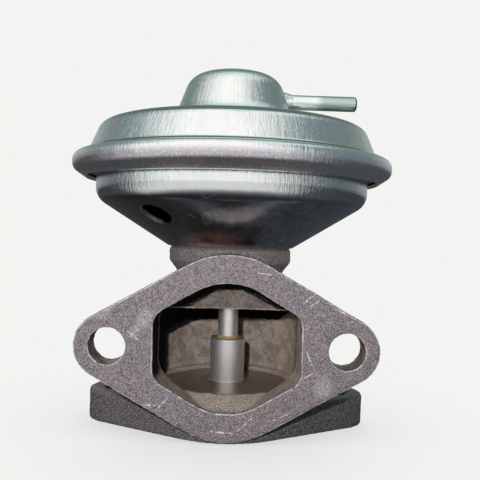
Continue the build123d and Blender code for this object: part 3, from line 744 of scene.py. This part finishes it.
def evened(vertex, marks):
    """The mean of a vertex's mark and its neighbours' marks."""
    total = sum(marks[edge.other_vert(vertex).index] for edge in vertex.link_edges)
    return (marks[vertex.index] + total) / (1 + len(vertex.link_edges))


def edge_marks(bm):
    """How far each vertex stands out of, or sinks below, the surface round it."""
    marks = []
    for vertex in bm.verts:
        lean = 0.0
        for edge in vertex.link_edges:
            other = edge.other_vert(vertex)
            lean -= vertex.normal.dot((other.co - vertex.co).normalized())
        marks.append(lean / max(len(vertex.link_edges), 1))
    for _ in range(2):
        marks = [evened(vertex, marks) for vertex in bm.verts]
    return marks


def clamped(value):
    return min(max(value, 0.0), 1.0)


def inside_share(place):
    """1 on the walls of the passage and the chamber, 0 elsewhere and on the outlet face."""
    off_flat = abs(place.x) * math.sin(PASSAGE_SLOPE) + abs(place.z - PASSAGE_Z) * math.cos(PASSAGE_SLOPE)
    within = off_flat < PASSAGE_FLAT + 0.5 and abs(place.x) < PASSAGE_HALF + 0.5
    in_passage = within and place.y < WEB_Y + 0.6
    in_chamber = place.y > WEB_Y - 0.6 and math.hypot(place.x, place.y) < CHAMBER_R + 0.4
    in_chamber = in_chamber and 2 < place.z < web_z + 0.3
    return clamped((place.y - outlet_y - 0.8) / 0.8) if in_passage or in_chamber else 0.0


def casting():
    """The iron body as it comes from the sand: softened corners and a grainy skin."""
    mesh = nodes["valve_body"].data.copy()
    obj = linked("iron_casting", mesh)
    remesh = obj.modifiers.new("remesh", "REMESH")
    remesh.mode = "VOXEL"
    remesh.voxel_size = CAST_VOXEL * MM
    remesh.adaptivity = 0.0
    smooth = obj.modifiers.new("soften", "SMOOTH")
    smooth.factor = 0.5
    smooth.iterations = SOFTEN_PASSES
    applied(obj)
    obj.data.polygons.foreach_set("use_smooth", [True] * len(obj.data.polygons))

    bm = bmesh.new()
    bm.from_mesh(obj.data)
    bm.normal_update()
    bm.verts.index_update()
    marks = edge_marks(bm)
    edge_layer = bm.verts.layers.float.new("edge")
    hollow_layer = bm.verts.layers.float.new("hollow")
    inside_layer = bm.verts.layers.float.new("inside")
    for vertex, mark in zip(bm.verts, marks):
        vertex[edge_layer] = clamped((mark - EDGE_LEAN) / LEAN_SPAN)
        vertex[hollow_layer] = clamped((-mark - HOLLOW_LEAN) / LEAN_SPAN)
        vertex[inside_layer] = inside_share(vertex.co / MM)
    for vertex in bm.verts:
        place = vertex.co / MM
        rise = noise.fractal(place * 1.15, 0.6, 2.0, 3) * CAST_GRAIN
        rise += noise.noise(place * 0.16) * CAST_GRAIN
        machined = place.y < outlet_y + 0.2 or place.z < 0.2 or place.z > collar_top - 0.2
        vertex.co += vertex.normal * rise * (MACHINED_GRAIN if machined else 1.0) * MM
        vertex.co.z = max(vertex.co.z, 0.0)
    bm.to_mesh(obj.data)
    bm.free()
    wear(obj, cast_iron())
    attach(obj, "housing")
    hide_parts("valve_body")
    return obj


# ---------------------------------------------------------------- soft pieces inside the capsule
def soft_spring():
    """Return spring, on its own copy of the CAD spring's mesh."""
    obj = linked("coil_spring", nodes["return_spring"].data.copy())
    wear(obj, plain_metal("spring_steel", (0.22, 0.22, 0.23), (0.34, 0.34, 0.35), 0.35))
    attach(obj, "housing")
    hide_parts("return_spring")
    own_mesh(obj)
    return obj


def soft_diaphragm():
    """Rubber diaphragm, a copy of the CAD diaphragm moved into the frame's coordinates."""
    obj = linked("rolling_diaphragm", nodes["diaphragm"].data.copy())
    wear(obj, soft_stuff("rubber", (0.012, 0.012, 0.013), (0.03, 0.03, 0.032), 1.6, 0.6))
    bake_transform(obj)
    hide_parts("diaphragm")
    return obj


# ---------------------------------------------------------------- stage, light and camera
PALE = (0.897, 0.905, 0.880)
FLOOR_R = 6.0                    # in metres
PAPER = (0.30, 0.30, 0.29)       # the floor's own grey, under the glow that the camera sees
SHADED_FLOOR = (0.075, 0.08, 0.085)
SHADE_REACH = 60, 115            # metal sees the floor shaded up to here, and pale further in front
CONTACT_REACH = 70
CONTACT_SHADE = 0.70
LEFT_LOW = (0.15, 0.18, 0.185)   # the room's dark sides, level with the valve and higher up
LEFT_HIGH = (0.44, 0.51, 0.53)
LEFT_REAR = (0.12, 0.16, 0.16)
RIGHT_LOW = (0.21, 0.255, 0.285)
RIGHT_HIGH = (0.22, 0.27, 0.31)
RIGHT_REAR = (0.07, 0.10, 0.12)
CEILING = (0.78, 0.95, 0.90)
BRIGHT = (1.22, 1.22, 1.20)      # its front
BEHIND = (0.50, 0.53, 0.53)
UPPER_BEHIND = (0.20, 0.26, 0.25)
ROOM_FILL = 0.12                 # share of the room's light that reaches matt surfaces
LAMP_RADIUS = 3.5
REAR_LAMP_RADIUS = 140
LAMP_AIM = Vector((0, 0, 45))
LAMPS = (                        # name, kind, power, place, radius
    ("key", "POINT", 1.0, Vector((-15.4, -174, 70)), LAMP_RADIUS),
    ("back_left", "AREA", 2.2, Vector((-260, 320, 300)), REAR_LAMP_RADIUS),
    ("back_right", "AREA", 1.4, Vector((320, 240, 180)), REAR_LAMP_RADIUS),
)


def bright_side(n, x, y):
    """1 towards the room's bright front and 0 to its sides, further round on the left than on the right."""
    right = n.times(n.larger(x, 0.0), 0.76)
    facing = n.minus(n.times(y, -1.0), right)
    return n.step(facing, 0.08, 0.24)


def floor():
    """Pale paper with a soft contact shadow; metal sees it dark close by and bright further in front."""
    bm = bmesh.new()
    bmesh.ops.create_circle(bm, cap_ends=True, segments=128, radius=FLOOR_R)
    mesh = bpy.data.meshes.new("floor")
    bm.to_mesh(mesh)
    bm.free()
    obj = linked("floor", mesh)
    material = bpy.data.materials.new("studio_paper")
    material.use_nodes = True
    n = Nodes(material.node_tree)
    n.tree.nodes.clear()
    x, y, _ = n.separated(n.place())
    distance = n.distance(x, y)
    near = n.larger(distance, 1.0)
    in_front = bright_side(n, n.over(x, near), n.over(y, near))
    away = n.times(n.step(distance, *SHADE_REACH), in_front)
    reflected = n.blend(away, SHADED_FLOOR, PALE)
    contact = n.add("ShaderNodeAmbientOcclusion", samples=16)
    n.put(contact.inputs["Distance"], CONTACT_REACH * MM)
    shaded = n.step(contact.outputs["AO"], 0.0, 1.0, CONTACT_SHADE, 1.0)
    shown = n.blend(1.0, n.combined(shaded, shaded, shaded), PALE, "MULTIPLY")

    path = n.add("ShaderNodeLightPath")
    seen = n.larger(path.outputs["Is Camera Ray"], path.outputs["Is Transmission Ray"])
    glow = n.add("ShaderNodeEmission")
    n.put(glow.inputs["Color"], n.blend(seen, reflected, shown))
    paper = n.add("ShaderNodeBsdfDiffuse")
    n.put(paper.inputs["Color"], PAPER)
    mix = n.add("ShaderNodeMixShader")
    n.put(mix.inputs["Fac"], n.larger(seen, path.outputs["Is Glossy Ray"]))
    n.put(mix.inputs[1], paper.outputs[0])
    n.put(mix.inputs[2], glow.outputs[0])
    n.put(n.add("ShaderNodeOutputMaterial").inputs["Surface"], mix.outputs[0])
    wear(obj, material)


def world():
    """The camera sees a plain pale background, and metal a room with a bright front and dark sides."""
    sky = bpy.data.worlds.new("studio")
    bpy.context.scene.world = sky
    sky.use_nodes = True
    n = Nodes(sky.node_tree)
    n.tree.nodes.clear()
    x, y, z = n.separated(n.add("ShaderNodeTexCoord").outputs["Generated"])
    to_right = n.step(x, -0.2, 0.3)
    raised = n.step(z, 0.0, 0.42)
    low_sides = n.blend(to_right, LEFT_LOW, RIGHT_LOW)
    high_sides = n.blend(to_right, LEFT_HIGH, RIGHT_HIGH)
    rear_sides = n.blend(to_right, LEFT_REAR, RIGHT_REAR)
    room = n.blend(raised, low_sides, high_sides)
    room = n.blend(n.step(y, -0.15, 0.2, 0.0, 0.5), room, rear_sides)
    room = n.blend(n.step(y, 0.35, 0.75), room, BEHIND)
    upper_back = n.times(n.step(y, 0.0, 0.3), n.step(z, 0.25, 0.45))
    room = n.blend(upper_back, room, UPPER_BEHIND)
    room = n.blend(n.times(n.step(z, 0.72, 0.88), n.step(y, 0.35, 0.15)), room, CEILING)
    room = n.blend(bright_side(n, x, y), room, BRIGHT)
    path = n.add("ShaderNodeLightPath")
    colour = n.blend(path.outputs["Is Camera Ray"], room, PALE)
    background = n.add("ShaderNodeBackground")
    n.put(background.inputs["Color"], colour)
    fill = n.blend(path.outputs["Is Diffuse Ray"], (1, 1, 1), (ROOM_FILL,) * 3)
    n.put(background.inputs["Strength"], fill)
    n.put(n.add("ShaderNodeOutputWorld").inputs["Surface"], background.outputs[0])


def lamp(name, kind, power, place, radius):
    """A lamp that neither the camera nor a reflection sees; an area lamp faces the stem's axis."""
    data = bpy.data.lights.new(name, kind)
    data.energy = power
    obj = linked(name, data)
    obj.location = place * MM
    obj.visible_camera = False
    obj.visible_glossy = False
    if kind == "AREA":
        data.shape = "DISK"
        data.size = 2 * radius * MM
        obj.rotation_euler = (place - LAMP_AIM).to_track_quat("Z", "Y").to_euler()
    else:
        data.shadow_soft_size = radius * MM


def lamps():
    """A small key lamp in front, a little left and above the camera, and broad soft ones behind."""
    for name, kind, power, place, radius in LAMPS:
        lamp(name, kind, power, place, radius)


CAMERA_PLACE = Vector((0.3, -173.9, 50.8))
CAMERA_YAW = 0.77
CAMERA_PITCH = -0.49
CAMERA_ROLL = 1.68
FOCAL_PIXELS = 626.5
PICTURE_PIXELS = 480


def camera():
    """The photograph's camera, turned by its yaw, pitch and roll."""
    data = bpy.data.cameras.new("camera")
    data.sensor_width = 36
    data.lens = FOCAL_PIXELS / PICTURE_PIXELS * data.sensor_width
    data.clip_start = 0.01
    data.clip_end = 50
    obj = linked("camera", data)
    yaw, pitch, roll = (math.radians(a) for a in (CAMERA_YAW, CAMERA_PITCH, CAMERA_ROLL))
    ahead = Vector((math.sin(yaw) * math.cos(pitch), math.cos(yaw) * math.cos(pitch), math.sin(pitch)))
    right = Vector((math.cos(yaw), -math.sin(yaw), 0))
    up = right.cross(ahead)
    rolled_right = right * math.cos(roll) + up * math.sin(roll)
    rolled_up = up * math.cos(roll) - right * math.sin(roll)
    obj.matrix_world = Matrix((
        (rolled_right.x, rolled_up.x, -ahead.x, CAMERA_PLACE.x * MM),
        (rolled_right.y, rolled_up.y, -ahead.y, CAMERA_PLACE.y * MM),
        (rolled_right.z, rolled_up.z, -ahead.z, CAMERA_PLACE.z * MM),
        (0, 0, 0, 1),
    ))
    bpy.context.scene.camera = obj


def dress_nodes():
    """Materials for the CAD nodes that are shown as they are."""
    plating = zinc_plate("zinc_plate")
    lower_plating = zinc_plate("zinc_plate_lower", lower_shell=True)
    steel = turned_steel("ground_steel")
    fastener = plain_metal("fastener", (0.34, 0.34, 0.35), (0.48, 0.47, 0.45), 0.35)
    finishes = {
        "upper_shell": plating,
        "lower_shell": lower_plating,
        "vacuum_tube": zinc_plate("zinc_tube", tube=True),
        "tube_braze": plating,
        "seal_retainer": plating,
        "spring_seat": plating,
        "spring_cup": plating,
        "lower_diaphragm_plate": plating,
        "poppet": turned_steel("turned_steel", dark_disc=True),
        "valve_stem": steel,
        "braze_ring": braze_metal("braze"),
        "valve_seat_ring": plain_metal("seat_steel", (0.20, 0.18, 0.17), (0.32, 0.29, 0.27), 0.4),
        "stem_guide_bush": plain_metal("bronze", (0.55, 0.37, 0.19), (0.68, 0.48, 0.27), 0.35),
        "stem_seal": soft_stuff("packing", (0.05, 0.05, 0.05), (0.10, 0.095, 0.09), 2.2, 0.7),
        "shell_gasket": soft_stuff("gasket", (0.06, 0.055, 0.05), (0.13, 0.12, 0.11), 1.8, 0.75),
        "screw_washers": fastener,
        "shell_screws": fastener,
        "clamp_washer": fastener,
        "stem_nut": fastener,
    }
    for name, material in finishes.items():
        wear(nodes[name], material)


dress_nodes()
casting()
soft_spring()
soft_diaphragm()
floor()
world()
lamps()
camera()
bpy.context.scene.view_settings.view_transform = "Standard"
